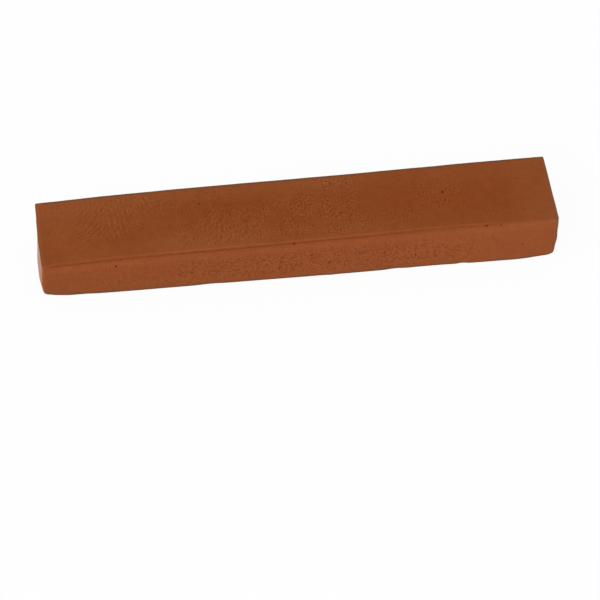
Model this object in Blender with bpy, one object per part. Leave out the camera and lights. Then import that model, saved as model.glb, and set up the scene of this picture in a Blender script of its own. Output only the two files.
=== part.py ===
# Burn-in stick: one solid bar of hard filler resin, cast in an open mould.
# Metres, +Z up. The bar lies on its base with its length along X and its thick end at +X.
# The origin is in the middle of the base.

from math import radians, tan

import bmesh
import bpy

# Overall sizes. The rim is the edge round the top face, where the mould was open.
LENGTH = 0.1016  # along the rim
WIDTH = 0.01905  # across the rim at the thick end
THIN_END = 0.0087  # thickness at -X
THICK_END = 0.0102  # thickness at +X, where the resin stood deeper in the mould

# Shape that the mould gives
DRAFT = radians(2.0)  # lean of the four walls, which spread towards the rim
BASE_END_ROUND = 0.0025  # base edges across the two ends
BASE_SIDE_ROUND = 0.0006  # base edges along the two sides
CORNER_ROUND = 0.0006  # the four upright corners
RIM_ROUND = 0.0002  # edges of the top face
ROUND_SEGMENTS = 6  # flats in each rounding

# Finish of the cast resin
COLOUR = (0.262, 0.067, 0.020, 1.0)
ROUGHNESS = 0.42
METALLIC = 0.0


def clear_scene():
    for obj in list(bpy.data.objects):
        bpy.data.objects.remove(obj, do_unlink=True)


def corner_of_bar(side_x, side_y, is_top):
    """Place one corner of the block, before its edges are rounded; each side is -1 or 1."""
    thickness = THICK_END if side_x > 0 else THIN_END
    height = thickness if is_top else 0.0
    end_inset = (thickness - height) * tan(DRAFT)
    wall_inset = (THICK_END - height) * tan(DRAFT)
    return (side_x * (LENGTH / 2 - end_inset), side_y * (WIDTH / 2 - wall_inset), height)


def edge_round(edge):
    """Give the radius of an edge from the way it runs on the block."""
    first, second = (vert.co for vert in edge.verts)
    run = second - first
    if abs(run.z) > max(abs(run.x), abs(run.y)):
        return CORNER_ROUND
    if first.z > 0 and second.z > 0:
        return RIM_ROUND
    if abs(run.x) > abs(run.y):
        return BASE_SIDE_ROUND
    return BASE_END_ROUND


def cast_block():
    """Make the drafted, wedge-shaped block, with each edge weighted by its rounding."""
    shape = bmesh.new()
    bmesh.ops.create_cube(shape, size=2.0)
    for vert in shape.verts:
        vert.co = corner_of_bar(vert.co.x, vert.co.y, vert.co.z > 0)
    bmesh.ops.recalc_face_normals(shape, faces=shape.faces)
    weight = shape.edges.layers.float.new("bevel_weight_edge")
    widest = widest_round()
    for edge in shape.edges:
        edge[weight] = edge_round(edge) / widest
    mesh = bpy.data.meshes.new("filler_bar")
    shape.to_mesh(mesh)
    shape.free()
    return mesh


def widest_round():
    return max(BASE_END_ROUND, BASE_SIDE_ROUND, CORNER_ROUND, RIM_ROUND)


def cast_resin():
    material = bpy.data.materials.new("cast_resin")
    material.use_nodes = True
    shader = material.node_tree.nodes["Principled BSDF"]
    shader.inputs["Base Color"].default_value = COLOUR
    shader.inputs["Roughness"].default_value = ROUGHNESS
    shader.inputs["Metallic"].default_value = METALLIC
    return material


def filler_bar():
    mesh = cast_block()
    mesh.materials.append(cast_resin())
    mesh.shade_smooth()
    bar = bpy.data.objects.new("filler_bar", mesh)
    bpy.context.scene.collection.objects.link(bar)
    rounding = bar.modifiers.new("edge_rounding", "BEVEL")
    rounding.limit_method = "WEIGHT"
    rounding.width = widest_round()
    rounding.segments = ROUND_SEGMENTS
    rounding.harden_normals = True
    return bar


clear_scene()
filler_bar()
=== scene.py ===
import math
import random
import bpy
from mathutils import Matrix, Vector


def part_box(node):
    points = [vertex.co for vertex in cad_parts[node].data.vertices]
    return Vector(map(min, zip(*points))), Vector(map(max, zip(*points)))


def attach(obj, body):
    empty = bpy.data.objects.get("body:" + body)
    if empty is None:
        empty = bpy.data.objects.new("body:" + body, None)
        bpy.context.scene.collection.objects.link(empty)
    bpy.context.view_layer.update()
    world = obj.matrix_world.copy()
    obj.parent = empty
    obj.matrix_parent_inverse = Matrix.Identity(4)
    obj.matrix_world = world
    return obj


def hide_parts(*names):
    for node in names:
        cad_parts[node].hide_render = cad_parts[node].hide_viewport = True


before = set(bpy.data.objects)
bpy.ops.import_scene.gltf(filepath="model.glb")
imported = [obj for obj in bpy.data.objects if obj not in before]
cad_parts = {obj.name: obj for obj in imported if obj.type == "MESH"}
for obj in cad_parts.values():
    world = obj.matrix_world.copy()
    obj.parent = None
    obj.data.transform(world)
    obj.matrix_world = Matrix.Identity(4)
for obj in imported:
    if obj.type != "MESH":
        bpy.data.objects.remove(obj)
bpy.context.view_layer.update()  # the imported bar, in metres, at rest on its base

from types import SimpleNamespace

import bmesh
import bpy
import numpy as np
from mathutils import Vector
from mathutils.kdtree import KDTree

mm = 0.001
barLow, barHigh = (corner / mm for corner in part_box("filler_bar"))  # in mm, as the settings are
barLength, barWidth, barHeight = barHigh - barLow


# Small helpers for working as by hand

def makeActive(piece):
    bpy.ops.object.select_all(action="DESELECT")
    piece.select_set(True)
    bpy.context.view_layer.objects.active = piece


def startEdit(piece, kind="VERT"):
    makeActive(piece)
    bpy.ops.object.mode_set(mode="EDIT")
    bpy.ops.mesh.select_mode(type=kind)
    bpy.ops.mesh.select_all(action="DESELECT")


def endEdit():
    bpy.ops.object.mode_set(mode="OBJECT")


def pick(piece, kind, test):
    # selects the vertices, edges or faces that pass the test
    shape = bmesh.from_edit_mesh(piece.data)
    for item in getattr(shape, kind):
        item.select_set(test(item))
    shape.select_flush_mode()
    bmesh.update_edit_mesh(piece.data)


def applyModifier(piece, modifier):
    makeActive(piece)
    bpy.ops.object.modifier_apply(modifier=modifier.name)


def placesOf(piece):
    # x, y and z of the vertices, in mm
    places = np.empty(len(piece.data.vertices) * 3, np.float32)
    piece.data.vertices.foreach_get("co", places)
    return places.reshape(-1, 3).astype(float).T / mm


def normalsOf(piece):
    normals = np.empty(len(piece.data.vertices) * 3, np.float32)
    piece.data.vertex_normals.foreach_get("vector", normals)
    return normals.reshape(-1, 3).astype(float).T


def markPoints(piece, name, values):
    # keeps a value at each vertex, for later steps and for the material
    marks = piece.data.attributes.new(name, "FLOAT", "POINT")
    marks.data.foreach_set("value", values.astype(np.float32))


def marksOf(piece, name):
    values = np.empty(len(piece.data.vertices), np.float32)
    piece.data.attributes[name].data.foreach_get("value", values)
    return values.astype(float)


def ease(value, start, stop):
    # 0 before start, 1 after stop, smooth between; start may be the larger
    share = np.clip((value - start) / (stop - start), 0, 1)
    return share * share * (3 - 2 * share)


def hump(value, middle, reach):
    # 1 at the middle, fading smoothly to 0 at the reach
    return ease(np.abs(value - middle), reach, 0)


def plateau(value, riseFrom, riseTo, fallFrom, fallTo):
    return ease(value, riseFrom, riseTo) * ease(value, fallTo, fallFrom)


def paintGroup(piece, name, weights, faintest=0.002):
    group = piece.vertex_groups.new(name=name)
    for index in np.flatnonzero(weights > faintest):
        group.add([int(index)], float(weights[index]), "REPLACE")
    return group.name


def pushOut(piece, name, weights, distance, direction="NORMAL", texture=None):
    # moves the painted surface: by one distance in mm, or up and down with a texture
    modifier = piece.modifiers.new(name, "DISPLACE")
    modifier.vertex_group = paintGroup(piece, name, weights)
    modifier.direction = direction
    modifier.strength = distance * mm
    modifier.mid_level = 0.5 if texture else 0.0
    if texture:
        modifier.texture = texture
        modifier.texture_coords = "LOCAL"
    applyModifier(piece, modifier)
    piece.vertex_groups.clear()


def cloudTexture(name, grain, detail=2):
    texture = bpy.data.textures.new(name, "CLOUDS")
    texture.noise_scale = grain * mm
    texture.noise_depth = detail
    texture.noise_basis = "IMPROVED_PERLIN"
    return texture


# The bar: a cast block with draft, a thin and a thick end and rounded base edges

barForm = {  # sizes in mm
    "thinEnd": 8.7,
    "draft": math.radians(2.0),
    "thinBaseRound": 0.85,  # base edge across the thin end
    "thickBaseRound": 2.5,
    "sideBaseRound": 0.6,
    "cornerRound": 0.6,
    "rimRound": 0.16,
    "roundSteps": 8,
    "edgeRows": (0.1, 0.13, 0.16, 0.19, 0.22),  # finer rows inside each face's border
    "leastFace": 50.0,  # the smallest face that gets them, in square mm
    "cells": (290, 54, 24),  # along the length, the width and the height
    "mostCuts": 90,  # cuts that one subdivide makes
    "shortestEdge": 2.0,  # that is cut into cells
    "straightness": 0.9,  # the least share of its length that such an edge runs along one axis
    "rimReach": 3.0,  # a point further than this from the top and the front isn't near their rim
    "noRim": 20.0,  # and this is added to its way past it
    "edgeTurn": (0.995, 0.9),  # largest part of the normal, on a flat face and on a round
    "smoothAngle": math.radians(50),
}


def topAt(x):
    slope = (barHeight - barForm["thinEnd"]) / barLength
    return barForm["thinEnd"] + slope * (x - barLow.x)


def blockOut():
    middle = (barLow + barHigh) / 2 * mm
    halfway = barHeight / 2 * mm
    bpy.ops.object.select_all(action="DESELECT")
    bpy.ops.mesh.primitive_cube_add(size=1, location=middle)
    bar = bpy.context.object
    bar.name = "cast_bar"
    bar.data.name = "cast_bar"
    startEdit(bar)
    bpy.ops.mesh.select_all(action="SELECT")
    bpy.ops.transform.resize(value=(barHigh - barLow) * mm, center_override=middle)
    endEdit()
    bpy.ops.object.transform_apply(location=True, rotation=True, scale=True)
    inset = 2 * barHeight * math.tan(barForm["draft"])
    startEdit(bar)
    pick(bar, "verts", lambda vert: vert.co.z < halfway)
    baseScale = (1 - inset / barLength, 1 - inset / barWidth, 1)
    bpy.ops.transform.resize(value=baseScale, center_override=(0, 0, 0))
    pick(bar, "verts", lambda vert: vert.co.z > halfway and vert.co.x < 0)
    bpy.ops.transform.translate(value=(0, 0, (barForm["thinEnd"] - barHeight) * mm))
    endEdit()
    return bar


def edgeRound(edge, verts):
    first, second = (verts[index].co for index in edge.vertices)
    run = second - first
    if abs(run.z) > max(abs(run.x), abs(run.y)):
        return barForm["cornerRound"]
    if first.z > barHeight / 2 * mm:
        return barForm["rimRound"]
    if abs(run.x) > abs(run.y):
        return barForm["sideBaseRound"]
    return barForm["thinBaseRound" if first.x < 0 else "thickBaseRound"]


def roundEdges(bar):
    widest = barForm["thickBaseRound"]
    weights = bar.data.attributes.new("bevel_weight_edge", "FLOAT", "EDGE")
    for edge in bar.data.edges:
        weights.data[edge.index].value = edgeRound(edge, bar.data.vertices) / widest
    bevel = bar.modifiers.new("rounds", "BEVEL")
    bevel.limit_method = "WEIGHT"
    bevel.width = widest * mm
    bevel.segments = barForm["roundSteps"]
    applyModifier(bar, bevel)
    bar.data.attributes.remove(bar.data.attributes["bevel_weight_edge"])


def insetRows(bar):
    # finer rows inside the border of each face but the base, for the lip and the worn edges
    leastArea = barForm["leastFace"] * mm * mm
    startEdit(bar, "FACE")
    pick(bar, "faces", lambda face: face.calc_area() > leastArea and face.normal.z > -0.5)
    for row in barForm["edgeRows"]:
        bpy.ops.mesh.inset(thickness=row * mm, use_individual=True)
    endEdit()


def runsAlong(edge, axis):
    run = edge.verts[1].co - edge.verts[0].co
    return abs(run[axis]) > max(barForm["shortestEdge"] * mm, barForm["straightness"] * run.length)


def cutAlong(bar, axis, cuts):
    startEdit(bar, "EDGE")
    pick(bar, "edges", lambda edge: runsAlong(edge, axis))
    bpy.ops.mesh.subdivide(number_cuts=cuts)
    endEdit()


def gridFaces(bar):
    # cuts the long edges of each direction into cells, so that every face becomes a fine grid
    for axis, cells in enumerate(barForm["cells"]):
        lots = math.ceil(cells / barForm["mostCuts"])
        if lots > 1:
            cutAlong(bar, axis, lots - 1)
        cutAlong(bar, axis, round(cells / lots) - 1)


def markSurface(bar):
    # before the bar is bent: each point's way past the front rim and from the nearest edge
    x, y, z = placesOf(bar)
    fall = topAt(x) - z
    behind = y - barLow.y
    wall = (barHeight - z) * math.tan(barForm["draft"])
    toSides = [behind - wall, barHigh.y - y - wall, x - barLow.x - wall, barHigh.x - x - wall]
    toFaces = np.sort(np.abs([fall, z] + toSides), axis=0)
    farFromRim = np.minimum(fall, behind) > barForm["rimReach"]
    largestPart = np.abs(normalsOf(bar)).max(axis=0)
    markPoints(bar, "pastRim", fall - behind + barForm["noRim"] * farFromRim)
    markPoints(bar, "fromEdge", toFaces[1])
    markPoints(bar, "onEdge", ease(largestPart, *barForm["edgeTurn"]))


bar = blockOut()
roundEdges(bar)
insetRows(bar)
gridFaces(bar)
markSurface(bar)
print("bar blocked out:", len(bar.data.polygons), "faces")


# How the cast bar strays from a true block

castShape = {  # in mm
    # at even stations from the thin to the thick end
    "backRimRise": (-0.08, 0.22, 0.35, 0.30, 0.20, 0.14, 0.19, 0.22, 0.10),
    "frontRimRise": (-0.20, 0.27, 0.32, 0.29, 0.26, 0.28, 0.36, 0.16, -0.17),
    "frontBaseBulge": (-0.12, 0.20, 0.23, 0.20, 0.27, 0.28, 0.07, 0.26, 0.0),
    "backBaseBulge": (0.0, 0.06, 0.14, 0.18, 0.12, 0.05, 0.10, 0.08, 0.0),
    "thinRimReach": 0.09,  # how far the rim stands out at each end
    "thickRimReach": 0.10,
    "thickBackReach": 0.10,
    # how the base curls up: -1 for the thin end, then the lift, its reach and its fade upwards
    "endLifts": (
        (-1, 0.40, 5.5, 5.0), (-1, 0.34, 2.5, 1.6),
        (1, 0.36, 7.5, 5.0), (1, 0.46, 2.3, 3.0),
    ),
    "swellDepth": (1.8, 0.5),  # way in from an end where its swell begins and where it is full
    "rimUp": (5.0, 8.0),  # z where a swell or wave of the rim begins and where it is full
    "thinSwell": 0.79,  # bulge of the thin end's face
    "thinSwellUp": (3.2, 5.1),  # its middle and reach upwards
    "thinSwellAcross": (9.5, -3.5),  # y where it begins and where it is full
    "thinSwellCorner": (-6.0, -9.2),  # y from and to as it falls at the front corner
    "thinSwellCornerFall": 0.44,
    "thinRimSwell": 0.22,
    "thinRimSwellAcross": (-2.0, 8.0),  # its middle and reach
    "thickSwell": 0.11,
    "thickSwellUp": (7.0, 4.0),
    # dents and bumps along the front base edge: x, reach and depth
    "baseDents": (
        (-42.5, 3.5, 0.07), (-17.8, 3.8, 0.13), (6.0, 1.8, -0.07),
        (18.6, 2.6, 0.17), (32.0, 1.5, 0.20), (43.0, 5.0, -0.08),
    ),
    "baseDentUp": (1.6, 0.5),
    "baseDentAcross": (-7.0, -8.5),
    "waveDepth": (2.5, 0.8),
    # waves of the thick end's front corner: z, reach and height
    "cornerWaves": ((6.9, 1.4, -0.05), (4.65, 1.5, 0.10), (2.4, 1.3, -0.10), (1.2, 1.1, 0.09)),
    "cornerAcross": (-5.0, -8.0),
    # waves of the thin end's rim: y, reach and height
    "rimWaves": ((3.8, 2.2, 0.06), (-8.5, 4.0, 0.09)),
}


def bendToShape(bar):
    stations = len(castShape["backRimRise"])
    bpy.ops.object.select_all(action="DESELECT")
    bpy.ops.object.add(type="LATTICE", location=(barLow + barHigh) / 2 * mm)
    cage = bpy.context.object
    cage.scale = (barHigh - barLow) * mm
    cage.data.points_u, cage.data.points_v, cage.data.points_w = stations, 2, 2
    cage.data.interpolation_type_u = "KEY_CATMULL_ROM"
    cage.data.interpolation_type_v = cage.data.interpolation_type_w = "KEY_LINEAR"
    for number, point in enumerate(cage.data.points):
        station = number % stations
        isBack = number // stations % 2 == 1
        isTop = number // stations // 2 == 1
        if isTop:
            rise = castShape["backRimRise" if isBack else "frontRimRise"][station]
            point.co_deform.z += rise / barHeight
            if station == 0:
                point.co_deform.x -= castShape["thinRimReach"] / barLength
            if station == stations - 1:
                reach = castShape["thickBackReach" if isBack else "thickRimReach"]
                point.co_deform.x += reach / barLength
        else:
            bulge = castShape["backBaseBulge" if isBack else "frontBaseBulge"][station]
            point.co_deform.y += (bulge if isBack else -bulge) / barWidth
    bend = bar.modifiers.new("bend", "LATTICE")
    bend.object = cage
    applyModifier(bar, bend)
    bpy.data.objects.remove(cage)


def nearThin(x, depth):
    begins, full = depth
    return ease(x, barLow.x + begins, barLow.x + full)


def nearThick(x, depth):
    begins, full = depth
    return ease(x, barHigh.x - begins, barHigh.x - full)


def liftEnds(bar):
    for way, lift, reach, fade in castShape["endLifts"]:
        x, y, z = placesOf(bar)
        nearEnd = ease(way * x, barLength / 2 - reach, barLength / 2)
        pushOut(bar, "endLift", nearEnd * ease(z, fade, 0), lift, "Z")


def swellEnds(bar):
    x, y, z = placesOf(bar)
    onThin = nearThin(x, castShape["swellDepth"])
    onThick = nearThick(x, castShape["swellDepth"])
    cornerFall = castShape["thinSwellCornerFall"] * ease(y, *castShape["thinSwellCorner"])
    across = ease(y, *castShape["thinSwellAcross"]) * (1 - cornerFall)
    thin = onThin * hump(z, *castShape["thinSwellUp"]) * across
    thinRim = onThin * hump(y, *castShape["thinRimSwellAcross"]) * ease(z, *castShape["rimUp"])
    thick = onThick * hump(z, *castShape["thickSwellUp"])
    pushOut(bar, "thinSwell", thin, -castShape["thinSwell"], "X")
    pushOut(bar, "thinRimSwell", thinRim, -castShape["thinRimSwell"], "X")
    pushOut(bar, "thickSwell", thick, castShape["thickSwell"], "X")


def dentBaseEdge(bar):
    x, y, z = placesOf(bar)
    onBaseEdge = ease(z, *castShape["baseDentUp"]) * ease(y, *castShape["baseDentAcross"])
    for place, reach, depth in castShape["baseDents"]:
        pushOut(bar, "baseDent", onBaseEdge * hump(x, place, reach), depth, "Y")


def waveEnds(bar):
    x, y, z = placesOf(bar)
    onCorner = nearThick(x, castShape["waveDepth"]) * ease(y, *castShape["cornerAcross"])
    for place, reach, height in castShape["cornerWaves"]:
        pushOut(bar, "cornerWave", onCorner * hump(z, place, reach), height, "X")
    onRim = nearThin(x, castShape["waveDepth"]) * ease(z, *castShape["rimUp"])
    for place, reach, height in castShape["rimWaves"]:
        pushOut(bar, "rimWave", onRim * hump(y, place, reach), -height, "X")


frontLip = {  # the overfilled lip of the front rim, in mm
    "along": (-50.8, -48.5, 36.0, 46.0),  # x: grows over the first two, fades over the last two
    "out": 0.07,
    "outProfile": (-0.30, 0.05, 0.20, 0.80),  # the same, in the way past the rim
    "drop": 0.03,
    "dropProfile": (-0.60, -0.02, 0.25, 0.60),
    "groove": 0.05,
    "grooveProfile": (0.20, 0.70, 0.90, 2.8),
}


def rollLip(bar):
    past = marksOf(bar, "pastRim")
    along = plateau(placesOf(bar)[0], *frontLip["along"])
    for name, way, axis in (("out", -1, "Y"), ("drop", -1, "Z"), ("groove", 1, "Y")):
        profile = plateau(past, *frontLip[name + "Profile"])
        pushOut(bar, "lip_" + name, profile * along, way * frontLip[name], axis)


surfaceWaves = {
    # grain and full height of each size of unevenness, in mm
    "waves": {"slump": (16.0, 0.16), "dimples": (4.0, 0.05), "peel": (1.0, 0.018)},
    "aboveBase": (0.1, 1.0),  # z where they begin and where they are full
    "nicks": (1.3, 0.035),  # grain and height along the edges
    "nickDetail": 3,
    "nickDepth": (0.0, 3.0),  # way in from the thin end where they begin and where they are full
}


def roughenSurface(bar):
    for name, (grain, height) in surfaceWaves["waves"].items():
        aboveBase = ease(placesOf(bar)[2], *surfaceWaves["aboveBase"])
        pushOut(bar, name, aboveBase, height, "NORMAL", cloudTexture(name, grain))


def nickEdges(bar):
    grain, height = surfaceWaves["nicks"]
    nearEdge = marksOf(bar, "onEdge") * nearThin(placesOf(bar)[0], surfaceWaves["nickDepth"])
    texture = cloudTexture("nicks", grain, surfaceWaves["nickDetail"])
    pushOut(bar, "nicks", nearEdge, height, "NORMAL", texture)


bendToShape(bar)
liftEnds(bar)
swellEnds(bar)
dentBaseEdge(bar)
waveEnds(bar)
rollLip(bar)
roughenSurface(bar)
nickEdges(bar)
print("cast shape formed")


# Burst bubbles, each a small hollow in the skin

bubbles = {  # places and radii in mm
    "top": [  # x, y, radius
        (-18.69, 4.46, 0.26), (29.40, 1.34, 0.32), (29.49, -1.11, 0.26), (30.2, -1.6, 0.15),
        (44.6, 3.5, 0.15), (44.4, -5.7, 0.14),
    ],
    "front": [  # x, z, radius
        (-36.38, 7.09, 0.27), (5.46, 3.74, 0.24), (-1.48, 9.30, 0.32), (36.55, 9.80, 0.32),
        (39.32, 9.78, 0.22), (22.6, 3.6, 0.20), (16.3, 5.0, 0.19), (10.5, 5.4, 0.18),
        (13.1, 3.3, 0.18), (7.3, 5.2, 0.17), (3.6, 5.9, 0.18), (2.0, 5.8, 0.19),
        (-1.1, 3.8, 0.18), (-1.4, 2.5, 0.18), (-4.5, 3.1, 0.18), (-21.6, 3.9, 0.17),
        (11.5, 5.3, 0.17), (43.9, 4.1, 0.17),
    ],
    "back": [(-29.0, 5.2, 0.25), (-6.5, 3.1, 0.22), (14.2, 6.4, 0.27), (31.0, 4.0, 0.2)],
    "base": [(-33.0, -3.5, 0.3), (-9.0, 4.4, 0.25), (21.0, 1.0, 0.3), (38.0, -5.0, 0.22)],
    "fineOnFace": 34,  # smaller ones on each of the next three faces
    "fineAcross": {"front": (1.2, 6.4), "back": (1.2, 6.4), "base": (-7.5, 7.5)},
    "fineAlong": (-34, 40, 10),  # x from and to, and where they are thickest
    "fineRadius": (0.08, 0.15),
    "fineSeed": 5,
    "aimFrom": 20.0,  # how far out the line starts that finds a bubble's place on the skin
    "margin": 0.7,  # cells round a bubble in which the skin is divided
    "cuts": 4,  # and how finely
    "depth": 0.75,  # in radii
}
waysIn = {  # for each face: the way in, and which two directions a bubble's place is given in
    "top": (Vector((0, 0, -1)), "xy"),
    "front": (Vector((0, 1, 0)), "xz"),
    "back": (Vector((0, -1, 0)), "xz"),
    "base": (Vector((0, 0, 1)), "xy"),
}


def addFineBubbles():
    draw = random.Random(bubbles["fineSeed"])
    for face, (low, high) in bubbles["fineAcross"].items():
        for number in range(bubbles["fineOnFace"]):
            first, second = draw.triangular(*bubbles["fineAlong"]), draw.uniform(low, high)
            bubbles[face].append((first, second, draw.uniform(*bubbles["fineRadius"])))


def bubbleSpots(bar):
    # the face, the middle on the skin and the radius of each bubble, in mm
    for face, (inward, plane) in waysIn.items():
        for first, second, radius in bubbles[face]:
            aim = Vector((first, second, 0)) if plane == "xy" else Vector((first, 0, second))
            start = (aim - inward * bubbles["aimFrom"]) * mm
            middle = bar.ray_cast(start, inward)[1]  # where the line meets the skin
            yield face, middle / mm, radius


def refineAround(bar, spots):
    near = KDTree(len(spots))
    for number, (face, middle, radius) in enumerate(spots):
        near.insert(middle, number)
    near.balance()
    margin = bubbles["margin"] * barLength / barForm["cells"][0]

    def isNear(face):
        number, distance = near.find(face.calc_center_median() / mm)[1:]
        return distance < spots[number][2] + margin

    startEdit(bar, "FACE")
    pick(bar, "faces", isNear)
    bpy.ops.mesh.subdivide(number_cuts=bubbles["cuts"])
    endEdit()


def openBubbles(bar):
    spots = list(bubbleSpots(bar))
    refineAround(bar, spots)
    places = placesOf(bar)
    hollow = np.zeros(places.shape[1])
    widest = max(radius for face, middle, radius in spots)
    for face, (inward, plane) in waysIn.items():
        dip = np.zeros(places.shape[1])
        for middle, radius in [spot[1:] for spot in spots if spot[0] == face]:
            away = np.linalg.norm(places - np.array(middle)[:, None], axis=0) / radius
            cup = np.clip(1 - away * away, 0, 1)
            dip = np.maximum(dip, cup * radius / widest)
            hollow = np.maximum(hollow, cup)
        axis = "Y" if plane == "xz" else "Z"
        way = inward.y + inward.z
        pushOut(bar, face + "Bubbles", dip, way * widest * bubbles["depth"], axis)
    markPoints(bar, "hollow", hollow)


addFineBubbles()
openBubbles(bar)
makeActive(bar)
bpy.ops.object.shade_smooth_by_angle(angle=barForm["smoothAngle"])
print("bubbles opened:", len(bar.data.polygons), "faces")


# Shader maths as Python expressions

class Wire:
    def __init__(self, tree, socket):
        self.tree = tree
        self.socket = socket

    def node(self, kind, settings=None, inputs=None, output=0):
        # any node: its settings first, then the values or links of its sockets
        made = self.tree.nodes.new(kind)
        for name, value in (settings or {}).items():
            setattr(made, name, value)
        for name, value in (inputs or {}).items():
            if isinstance(value, Wire):
                self.tree.links.new(value.socket, made.inputs[name])
            else:
                made.inputs[name].default_value = value
        return Wire(self.tree, made.outputs[output])

    def also(self, output):
        # another output of the same node
        return Wire(self.tree, self.socket.node.outputs[output])

    def math(self, operation, first, second=0.0):
        return self.node("ShaderNodeMath", {"operation": operation}, {0: first, 1: second})

    def __add__(self, other):
        return self.math("ADD", self, other)

    __radd__ = __add__

    def __sub__(self, other):
        return self.math("SUBTRACT", self, other)

    def __rsub__(self, other):
        return self.math("SUBTRACT", other, self)

    def __mul__(self, other):
        return self.math("MULTIPLY", self, other)

    __rmul__ = __mul__

    def __abs__(self):
        return self.math("ABSOLUTE", self)

    def ease(self, start, stop):
        settings = {"interpolation_type": "SMOOTHSTEP"}
        inputs = {"Value": self, "From Min": start, "From Max": stop}
        return self.node("ShaderNodeMapRange", settings, inputs)

    def rise(self, start, stop, share):
        return self.ease(start, stop) * share

    def hump(self, middle, reach):
        return abs(self - middle).ease(reach, 0.0)

    def between(self, start, stop, soft):
        # 1 from start to stop, with soft ends
        return self.ease(start - soft, start + soft) * self.ease(stop + soft, stop - soft)

    def axis(self, name):
        return self.node("ShaderNodeSeparateXYZ", {}, {0: self}, name)

    def noise(self, scale, detail=2.0, place=(0, 0, 0), stretch=(1, 1, 1)):
        # about -1 to 1; scale is in features per mm, when this wire holds a place in mm
        inputs = {"Vector": self, "Location": place, "Scale": stretch}
        laid = self.node("ShaderNodeMapping", {}, inputs)
        inputs = {"Vector": laid, "Scale": scale, "Detail": detail}
        made = self.node("ShaderNodeTexNoise", {}, inputs, "Fac")
        return (made - 0.5) * 4.0

    def cells(self, scale, place=(0, 0, 0), scatter=1.0, kind="3D"):
        # 0 at the middle of each cell, growing towards its border
        laid = self.node("ShaderNodeMapping", {}, {"Vector": self, "Location": place})
        settings = {"voronoi_dimensions": kind}
        inputs = {"Vector": laid, "Scale": scale, "Randomness": scatter}
        return self.node("ShaderNodeTexVoronoi", settings, inputs, "Distance")

    def chance(self):
        # a value of its own for each cell
        colour = self.also("Color")
        return colour.node("ShaderNodeSeparateColor", {}, {0: colour})

    def crisp(self, reach):
        # pushes values towards -1 and 1
        return self.ease(-reach, reach) * 2.0 - 1.0

    def tint(self, first, second):
        # mixes two colours by this wire
        inputs = {0: self, 6: first, 7: second}
        return self.node("ShaderNodeMix", {"data_type": "RGBA"}, inputs, 2)

    def plus(self, colour):
        # adds two colours
        settings = {"data_type": "RGBA", "blend_type": "ADD"}
        return self.node("ShaderNodeMix", settings, {0: 1.0, 6: self, 7: colour}, 2)

    def shade(self, colour):
        # a colour multiplied by this wire
        settings = {"data_type": "RGBA", "blend_type": "MULTIPLY"}
        return self.node("ShaderNodeMix", settings, {0: 1.0, 6: colour, 7: self}, 2)


# The resin. Places are in mm, and noises are features per mm, detail, place and stretch

resinLook = {
    "deep": (0.243, 0.0551, 0.0098, 1),  # the open face, deepest along its middle
    "rich": (0.2468, 0.0533, 0.0082, 1),  # and richest towards the thick end
    "pale": (0.2755, 0.0725, 0.0176, 1),  # the open face towards its edges
    "moulded": (0.2500, 0.0632, 0.0176, 1),  # the faces against the mould
    "nearBase": (0.2500, 0.0674, 0.0194, 1),
    "frostAndRimLight": (0.0038, 0.0018, 0.0009, 1),  # one step of the fine, greyish light and dark, and of the painted highlight along the front rim
    "underLip": (0.0150, 0.0155, 0.0085, 1),  # what the shade under the lip takes away
    # greyer colour of the painted shade along the edges
    "shadedEdge": (0.137, 0.082, 0.042, 1),
    # painted highlight along the rims of the two ends
    "litEndRim": (0.26, 0.14, 0.063, 1),
    # dark pores, and painted shade in the bubble hollows
    "poreAndHollowShade": (0.130, 0.014, 0.0005, 1),
    "specular": 0.05,
    "roughness": 0.42,
    # part of the normal from which a point belongs to a face, and where it does fully
    "onTop": (0.75, 0.95),
    "onSide": (0.8, 0.95),
    "onEnd": (0.6, 0.9),
    "onBase": (-0.8, -0.95),
    # unevenness of tone, from broad to fine
    "clouds": (0.06, 2.0),
    "mottle": (0.45, 3.0, (7, 3, 1)),
    "grain": (2.6, 1.0, (2, 9, 4)),
    "patchy": (0.16, 2.0, (5, 5, 0)),
    # how much each mark does: to the tone, in steps of frost, to the roughness, and in mm of relief
    "tones": {"clouds": 0.02, "mottle": 0.045, "lip": 0.10, "edges": 0.27},
    "steps": {"grain": 3.6, "marks": 7.4},
    "dulls": {"mottle": 0.04, "pits": 0.2, "side": 0.05, "end": -0.14},
    "relief": {"strokes": 0.004, "grain": 0.003, "pits": 0.006, "pores": -0.04},
    "hollowEdge": (0.05, 0.5),  # depth of a bubble where the pore colour, painted shade in the hollow, begins and is full
    "hollowShare": 0.95,
    "poreShare": 0.6,
}


def readSurface(tree):
    # the place in mm, the face it is on, what is kept at the vertices and the shared noises
    coords = tree.nodes.new("ShaderNodeTexCoord")
    metres = Wire(tree, coords.outputs["Object"])
    facing = Wire(tree, coords.outputs["Normal"])
    scaling = {"operation": "SCALE"}
    spot = metres.node("ShaderNodeVectorMath", scaling, {0: metres, "Scale": 1 / mm})
    at = SimpleNamespace(spot=spot)
    at.x, at.y, at.z = (spot.axis(name) for name in "XYZ")
    at.faceX, at.faceY, at.faceZ = (facing.axis(name) for name in "XYZ")
    at.onTop = at.faceZ.ease(*resinLook["onTop"])
    at.onSide = abs(at.faceY).ease(*resinLook["onSide"])
    at.onEnd = abs(at.faceX).ease(*resinLook["onEnd"])
    at.onBase = at.faceZ.ease(*resinLook["onBase"])
    for name in ("pastRim", "fromEdge", "hollow"):
        setattr(at, name, spot.node("ShaderNodeAttribute", {"attribute_name": name}, {}, "Fac"))
    for name in ("clouds", "mottle", "grain", "patchy"):
        setattr(at, name, spot.noise(*resinLook[name]))
    return at


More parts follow.
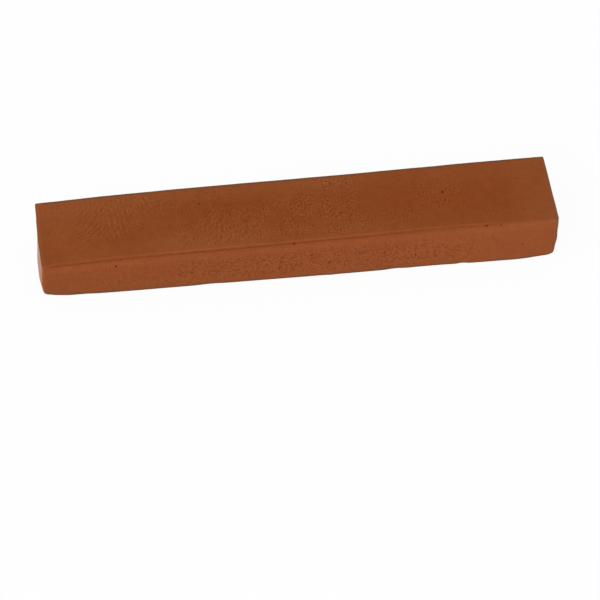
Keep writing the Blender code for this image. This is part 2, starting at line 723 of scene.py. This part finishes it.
openFace = {  # where the open face is paler: from, to and share, unless a note says otherwise
    "backBorder": (2.0, 8.5, 0.9),
    "frontBorder": (-2.0, -8.5, 0.6),
    "borderFade": (12.0, 22.0, 0.35),  # along x
    "thinEnd": (-12.0, -40.0, 0.40),
    "thinTip": (-42.0, -47.0, 0.24),
    "thinAcross": (-7.0, 1.0),  # y from and to
    "thickEnd": (40.0, 46.0),  # x from and to
    "thickShare": 0.85,
    "thickBack": (2.0, 7.0, 0.45),  # less at the back
    "thickFront": (-4.0, -7.5, 0.3),  # and at the front
    "frontPatch": (-29.0, -6.0, 3.5),  # from and to, with soft ends
    "frontPatchAcross": (3.0, -7.0, 0.75),
    "middlePatch": (-4.0, 12.0, 4.0),
    "middlePatchShare": 0.17,
    "clouds": 0.2,
    "mottle": 0.15,
    "all": 0.8,
    "rich": (10.0, 24.0),  # x over which the rich colour takes over
}


def openColour(at):
    # deep along the middle, and paler towards the edges and ends
    x, y, look = at.x, at.y, openFace
    border = y.rise(*look["backBorder"]) + y.rise(*look["frontBorder"])
    border = border * (1.0 - x.rise(*look["borderFade"]))
    thinEnd = x.rise(*look["thinEnd"]) + x.rise(*look["thinTip"])
    thinEnd = thinEnd * y.ease(*look["thinAcross"])
    thickEnd = look["thickShare"] - y.rise(*look["thickBack"]) - y.rise(*look["thickFront"])
    thickEnd = thickEnd * x.ease(*look["thickEnd"])
    patches = x.between(*look["frontPatch"]) * y.rise(*look["frontPatchAcross"])
    patches = patches + x.between(*look["middlePatch"]) * look["middlePatchShare"]
    uneven = at.clouds * look["clouds"] + at.mottle * look["mottle"]
    paleness = (border + thinEnd + thickEnd + patches + uneven) * look["all"]
    depth = x.ease(*look["rich"]).tint(resinLook["deep"], resinLook["rich"])
    return paleness.tint(depth, resinLook["pale"])


workedSkin = {  # strokes, dots and lumps where the open face was worked
    # x from and to, y from and to, strength and lean
    "areas": (
        (-49, -43, -2.0, 8.5, 0.55, 1.0),
        (-43, -35, -4.5, 8.6, 0.82, 0.8),
        (-35, -30, -3.0, 8.6, 0.90, -0.7),
        (-30, -26, 2.5, 8.6, 1.05, -0.4),
        (-26, -11, 2.5, 8.6, 0.60, 1.35),
        (-25, -18.5, -8.0, -1.0, 0.80, 0.4),
        (-18.5, -7, -8.0, 2.0, 1.10, 0.05),
        (-7, 1, -8.0, 3.5, 1.15, -0.4),
        (1, 13, -8.0, 8.4, 1.45, 0.0),
        (13, 24, -7.5, -2.5, 0.52, 0.2),
        (23, 34, -4.0, 6.5, 0.62, 0.0),
        (36, 41, -7.0, -3.0, 0.60, 0.0),
    ),
    "softAlong": 2.0,
    "softAcross": 1.2,
    "gaps": (-1.0, 0.0),  # of the patchy noise, where the marks begin and where they are full
    "patch": 0.19,  # patches of strokes with one direction, per mm
    "patchTurn": 0.7,  # how far the direction strays from one to the next
    # spacing, how regular and how broken the strokes are, and their grain across and along, per mm
    "fineStrokes": {"spacing": 0.74, "lines": 0.75, "breaks": 0.85, "grain": (4.3, 1.25, 1.0)},
    "broadStrokes": {"spacing": 1.0, "lines": 1.25, "breaks": 0.55, "grain": (3.2, 1.2, 1.0)},
    "broad": (-24.0, -30.0),  # x over which the broad ones take over
    "broadShare": 0.9,
    "wander": (0.45, 1.0, (4, 2, 0)),
    "wanderReach": 1.8,
    "fading": (1.0, 1.0, (1, 8, 0), (0.6, 1.1, 1.0)),
    "fadingEdge": (-0.6, 0.7),
    "breakDetail": 0.5,
    "dotted": (-9.0, 40.0, 4.0),  # x from and to, with soft ends, where dots replace strokes
    "dottedShare": 0.65,
    "dots": (1.45, 0.75),  # per mm, and how scattered
    "dotEdge": (0.42, 0.10),
    "lightDots": 2.5,
    "darkDots": 2.2,
    "darkPlace": (5.3, 7.7, 0),
    "lumps": (0.8, 1.0, (2, 6, 1)),
    "lumpsAlong": (-7.0, 5.0, 2.0),
    "lumpsAcross": (-7.6, -5.0, 0.8),
    "lumpShare": 0.35,
    "crispness": 0.5,
}


def overWorked(x, y, value):
    # sums a value over the worked areas that a place lies in: 0 for strength, 1 for lean
    total = 0.0
    for left, right, front, back, *values in workedSkin["areas"]:
        along = x.between(left, right, workedSkin["softAlong"])
        total = along * y.between(front, back, workedSkin["softAcross"]) * values[value] + total
    return total


def brushStrokes(spot, style):
    # short strokes left in the skin, each patch with its own direction; about -1 to 1
    inputs = {"Vector": spot, "Scale": workedSkin["patch"]}
    flat = {"voronoi_dimensions": "2D"}
    middle = spot.node("ShaderNodeTexVoronoi", flat, inputs, "Position")
    lean = overWorked(middle.axis("X"), middle.axis("Y"), 1)
    lean = lean + (middle.chance() - 0.5) * workedSkin["patchTurn"]
    away = spot.node("ShaderNodeVectorMath", {"operation": "SUBTRACT"}, {0: spot, 1: middle})
    inputs = {"Vector": away, "Angle": lean}
    turned = away.node("ShaderNodeVectorRotate", {"rotation_type": "Z_AXIS"}, inputs)
    across = turned.axis("X")
    wander = turned.noise(*workedSkin["wander"]) * workedSkin["wanderReach"]
    lines = across.math("SINE", across * (2 * math.pi / style["spacing"]) + wander)
    fading = turned.noise(*workedSkin["fading"]).ease(*workedSkin["fadingEdge"])
    breaks = turned.noise(1.0, workedSkin["breakDetail"], (0, 0, 0), style["grain"])
    breaks = breaks.crisp(workedSkin["crispness"])
    return lines * fading * style["lines"] + breaks * style["breaks"]


def workedMarks(at):
    spot, x, y, look = at.spot, at.x, at.y, workedSkin
    broad = x.ease(*look["broad"])
    brushed = brushStrokes(spot, look["broadStrokes"]) * broad * look["broadShare"]
    brushed = brushed + brushStrokes(spot, look["fineStrokes"]) * (1.0 - broad)
    perMm, scatter = look["dots"]
    light = spot.cells(perMm, (0, 0, 0), scatter, "2D").ease(*look["dotEdge"])
    dark = spot.cells(perMm, look["darkPlace"], scatter, "2D").ease(*look["dotEdge"])
    dots = light * look["lightDots"] - dark * look["darkDots"]
    dotted = x.between(*look["dotted"]) * look["dottedShare"]
    lumps = spot.noise(*look["lumps"]).crisp(look["crispness"]) * look["lumpShare"]
    lumps = lumps * x.between(*look["lumpsAlong"]) * y.between(*look["lumpsAcross"])
    worked = overWorked(x, y, 0) * at.patchy.ease(*look["gaps"]) * at.onTop
    return (brushed * (1.0 - dotted) + dots * dotted + lumps) * worked


mouldedFaces = {  # pits and tone of the faces against the mould
    "sidePits": (-26.0, 34.0, 6.0),  # x from and to, with soft ends
    "fewPits": (-45.0, -28.0, 4.0),
    "fewPitsShare": 0.35,
    "pitsUnderRim": (1.4, 3.2),  # way past the rim where they begin and where they are full
    "pitsAboveBase": (0.6, 2.6),
    "otherPits": (-0.7, 0.3),  # of the patchy noise, on the ends and the base
    "otherPitsShare": 0.6,
    "specks": (2.5, 0.5, (4, 8, 2), (0.92, 1, 1)),
    "speckEdge": (-0.25, 0.6),
    "speckDepth": 1.75,
    "betweenSpecks": 0.7,
    "clumps": (0.6, 1.0, (3, 1, 6)),  # where the pits are denser and where they are sparser
    "clumpShare": 0.45,
    "evenShare": 0.9,
    "pores": 1.5,  # cells per mm, of which some hold a pore
    "poreEdge": (0.30, 0.14),
    "poreChance": (0.5, 0.8),
    "underRim": (0.9, 2.2, 0.5),  # way past the rim of a lighter band, with soft ends
    "underRimTone": 0.065,
    "thickTone": (12.0, 36.0, 0.065),  # lighter towards the thick end
    "thinTone": (-18.0, -42.0, 0.06),  # painted shade towards the thin one, fullest low down, against the side lamp's light
    "thinToneUp": (9.0, 1.0),
    "endTone": (-45.0, -50.0, 0.12),  # painted light on the thin end's face
    "nearBase": (4.0, 1.0),  # z over which the colour near the base takes over
}


def mouldPits(at):
    # soft light and dark pitting, and single pores; least under the rim and at the ends
    spot, look = at.spot, mouldedFaces
    along = at.x.between(*look["sidePits"])
    along = along + at.x.between(*look["fewPits"]) * look["fewPitsShare"]
    underRim = (at.pastRim + at.patchy).ease(*look["pitsUnderRim"])
    onSide = along * underRim * at.z.ease(*look["pitsAboveBase"]) * at.onSide
    others = at.patchy.ease(*look["otherPits"]) * look["otherPitsShare"]
    zone = onSide + others * (at.onBase + at.onEnd)
    specks = spot.noise(*look["specks"]).ease(*look["speckEdge"]) * look["speckDepth"]
    dense = spot.noise(*look["clumps"]) * look["clumpShare"] + look["evenShare"]
    pitted = (look["betweenSpecks"] - specks) * zone * dense
    cell = spot.cells(look["pores"])
    pores = cell.ease(*look["poreEdge"]) * cell.chance().ease(*look["poreChance"]) * zone
    return pitted, pores


def mouldTone(at):
    # the faces against the mould: a lighter band under the rim, lighter towards the thick end,
    # painted shade low towards the thin end, and painted light on the thin end's face
    x, look = at.x, mouldedFaces
    underRim = at.pastRim.between(*look["underRim"]) * look["underRimTone"]
    thin = x.rise(*look["thinTone"]) * at.z.ease(*look["thinToneUp"])
    side = (underRim + x.rise(*look["thickTone"]) - thin) * at.onSide
    return side + at.onEnd * x.rise(*look["endTone"])


edgeLook = {  # the front rim, with a painted highlight along its top and painted shade under its lip, and the painted shade along the edges
    "rimFrom": (-50.5, -48.5),
    "rimTo": (42.0, 36.0),
    "light": (-0.42, 0.40),  # middle and reach, in the way past the rim
    "lightSteps": 8.5,  # of frost: a painted highlight along the top of the front rim
    "moreLight": (-2.0, 4.0, 2.0),  # x from and to, and steps
    "shade": (0.18, 0.45),
    "lessShade": (12.0, 30.0, 0.35),
    "cornerLight": (0.6, 0.5),
    "cornerFrom": (38.0, 42.0),
    "cornerSteps": 4.0,
    "nearEdge": (0.85, 0.20),  # way from an edge where the painted shade begins and where it is full
    # share of that greyer colour in the painted edge shade
    "edgeShadeShare": 0.42,
    "moreAtBase": (2.5, 1.5, 0.15),  # z from and to, and how much wider the painted shade is near the base, where shade falls by the floor
    "clearOfRim": (0.7, 1.3),
    "plainThin": (-49.0, -50.2),  # x over which the painted edge shade stops, above the base
    "plainThinUp": (0.8, 2.0),
    "plainThick": (48.6, 49.8, 0.65),  # and over which it loses this share
    "offBackAndEnds": (0.85, 0.45),  # part of the normal: less on the back and the ends
    "rimPale": (0.9, 0.25),  # way from an edge where the painted highlight along the end rims begins and where it is full
    "rimPaleThick": (48.6, 49.8),
    "rimPaleThin": (-49.6, -50.6, 0.8),
    "rimPaleShare": 0.2,
}


def rimLines(at):
    # the painted highlight along the rim, in steps of frost, and the painted shade under the lip
    x, past, look = at.x, at.pastRim, edgeLook
    along = x.ease(*look["rimFrom"]) * x.ease(*look["rimTo"])
    light = past.hump(*look["light"]) * along * (x.rise(*look["moreLight"]) + look["lightSteps"])
    corner = past.hump(*look["cornerLight"]) * x.ease(*look["cornerFrom"]) * at.onSide
    shade = past.hump(*look["shade"]) * along * (1.0 - x.rise(*look["lessShade"]))
    return light + corner * look["cornerSteps"], shade


def paintedEdgeShade(at):
    # painted shade along the edges: wider near the base, clear of the front rim, none at the thin
    # end above the base and less at the thick end
    x, z, look = at.x, at.z, edgeLook
    plain = x.ease(*look["plainThin"]) * z.ease(*look["plainThinUp"])
    plain = plain + x.rise(*look["plainThick"])
    nearEdge = (at.fromEdge - z.rise(*look["moreAtBase"])).ease(*look["nearEdge"])
    return nearEdge * abs(at.pastRim).ease(*look["clearOfRim"]) * (1.0 - plain)


def edgeShadeAndRimLight(at, skin, nearEdge):
    # painted shade, greyer, along the edges, and a paler painted highlight along the rims of the
    # two ends
    x, look = at.x, edgeLook
    offBackAndEnds = at.faceY.ease(*look["offBackAndEnds"]) * abs(at.faceX).ease(*look["offBackAndEnds"])
    skin = (nearEdge * offBackAndEnds * look["edgeShadeShare"]).tint(skin, resinLook["shadedEdge"])
    # a painted highlight along the rims of the two ends
    ends = x.ease(*look["rimPaleThick"]) + x.rise(*look["rimPaleThin"]) * at.onTop
    litRim = at.fromEdge.ease(*look["rimPale"]) * ends * offBackAndEnds
    return (litRim * look["rimPaleShare"]).tint(skin, resinLook["litEndRim"])


def castResin():
    material = bpy.data.materials.new("cast_resin_skin")
    material.use_nodes = True
    tree = material.node_tree
    shader = tree.nodes["Principled BSDF"]
    tones, steps = resinLook["tones"], resinLook["steps"]
    dulls, relief = resinLook["dulls"], resinLook["relief"]
    at = readSurface(tree)
    strokes = workedMarks(at)
    pitted, pores = mouldPits(at)
    # the painted highlight and shade of the front rim, and the painted shade along the edges
    rimLight, lipShade = rimLines(at)
    nearEdge = paintedEdgeShade(at)

    tone = 1.0 + at.clouds * tones["clouds"] + at.mottle * tones["mottle"] + mouldTone(at)
    # darker for the painted shade under the lip and along the edges
    tone = tone - lipShade * tones["lip"] - nearEdge * tones["edges"]
    nearBase = at.z.ease(*mouldedFaces["nearBase"])
    moulded = nearBase.tint(resinLook["moulded"], resinLook["nearBase"])
    plain = tone.shade(at.onTop.tint(moulded, openColour(at)))
    # the fine light and dark of the skin, with the painted highlight along the front rim
    frostAndRimLight = at.grain * (at.onSide + steps["grain"]) + (strokes + pitted) * steps["marks"] + rimLight
    underLip = (lipShade * -1.0).shade(resinLook["underLip"])
    skin = frostAndRimLight.shade(resinLook["frostAndRimLight"]).plus(plain).plus(underLip)
    # painted shade in the bubble hollows, and the dark pores
    hollow = at.hollow.ease(*resinLook["hollowEdge"]) * resinLook["hollowShare"]
    pits = pores * resinLook["poreShare"] + hollow
    colour = pits.tint(edgeShadeAndRimLight(at, skin, nearEdge), resinLook["poreAndHollowShade"])
    tree.links.new(colour.socket, shader.inputs["Base Color"])

    dull = at.mottle * dulls["mottle"] + pits * dulls["pits"]
    dull = dull + at.onSide * dulls["side"] + at.onEnd * dulls["end"] + resinLook["roughness"]
    tree.links.new(dull.socket, shader.inputs["Roughness"])

    height = strokes * relief["strokes"] + at.grain * relief["grain"]
    height = height + pitted * relief["pits"] + pores * relief["pores"]
    inputs = {"Height": height, "Strength": 1.0, "Distance": mm}
    bump = height.node("ShaderNodeBump", {}, inputs)
    tree.links.new(bump.socket, shader.inputs["Normal"])
    shader.inputs["Specular IOR Level"].default_value = resinLook["specular"]
    return material


bar.data.materials.clear()
bar.data.materials.append(castResin())
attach(bar, "root")
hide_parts("filler_bar")
print("resin finish on")


# Camera at the photograph's angle, a pale floor and soft light

viewFrom = {
    "place": Vector((-72.135, -591.165, 525.397)) * mm,
    "aim": Vector((-1.1264, -15.7285, 0.0)) * mm,
    "lens": 240.12,
    "sensor": 36,
    "clip": (0.01, 50),
}
studio = {  # in metres and watts
    "floorSize": 8.0,
    "floorLevel": -0.03 * mm,  # just under the base
    "floorColour": (0.92, 0.92, 0.92, 1),
    "floorWhite": 0.95,  # share of plain white that the camera sees, over the lit floor
    "skyLevel": 0.55,
    "keyPlace": (-0.55, -1.05, 0.85),
    "keySize": 0.7,
    "keyPower": 10.5,
    "sidePlace": (-2.4, -0.45, 0.35),
    "sideSize": 1.1,
    "sidePower": 29.0,
}


def turnTo(thing, way):
    thing.rotation_euler = way.to_track_quat("-Z", "Y").to_euler()


def addCamera():
    data = bpy.data.cameras.new("camera")
    data.lens = viewFrom["lens"]
    data.sensor_width = viewFrom["sensor"]
    data.clip_start, data.clip_end = viewFrom["clip"]
    camera = bpy.data.objects.new("camera", data)
    camera.location = viewFrom["place"]
    turnTo(camera, viewFrom["aim"] - viewFrom["place"])
    bpy.context.scene.collection.objects.link(camera)
    bpy.context.scene.camera = camera


def seenDirectly(tree):
    # 1 for rays from the camera, in reflections and through glass
    path = tree.nodes.new("ShaderNodeLightPath")
    kinds = ("Camera", "Glossy", "Transmission")
    rays = [Wire(tree, path.outputs[f"Is {kind} Ray"]) for kind in kinds]
    seen = rays[0] + rays[1] + rays[2]
    return seen.node("ShaderNodeClamp", {}, {"Value": seen})


def addFloor():
    bpy.ops.object.select_all(action="DESELECT")
    place = (0, 0, studio["floorLevel"])
    bpy.ops.mesh.primitive_plane_add(size=studio["floorSize"], location=place)
    floor = bpy.context.object
    floor.name = "floor"
    material = bpy.data.materials.new("pale_floor")
    material.use_nodes = True
    tree = material.node_tree
    shader = tree.nodes["Principled BSDF"]
    shader.inputs["Base Color"].default_value = studio["floorColour"]
    shader.inputs["Roughness"].default_value = 1.0
    shader.inputs["Specular IOR Level"].default_value = 0.0
    lit = Wire(tree, shader.outputs[0])
    white = lit.node("ShaderNodeEmission", {}, {"Strength": 1.0})
    share = seenDirectly(tree) * studio["floorWhite"]
    mixed = lit.node("ShaderNodeMixShader", {}, {0: share, 1: lit, 2: white})
    tree.links.new(mixed.socket, tree.nodes["Material Output"].inputs["Surface"])
    floor.data.materials.append(material)


def addSky():
    world = bpy.data.worlds.new("sky")
    world.use_nodes = True
    tree = world.node_tree
    level = seenDirectly(tree) * (1 - studio["skyLevel"]) + studio["skyLevel"]
    tree.nodes["Background"].inputs["Color"].default_value = (1, 1, 1, 1)
    tree.links.new(level.socket, tree.nodes["Background"].inputs["Strength"])
    bpy.context.scene.world = world


def addLamp(name, glints=True):
    data = bpy.data.lights.new(name, "AREA")
    data.shape = "DISK"
    data.size = studio[name + "Size"]
    data.energy = studio[name + "Power"]
    lamp = bpy.data.objects.new(name, data)
    lamp.visible_glossy = glints
    lamp.location = studio[name + "Place"]
    turnTo(lamp, -lamp.location)
    bpy.context.scene.collection.objects.link(lamp)


addCamera()
addFloor()
addSky()
addLamp("key")
addLamp("side", glints=False)  # low, so its glint would whiten the open face from the thick end
bpy.context.scene.view_settings.view_transform = "Standard"
print("camera, floor and light set")
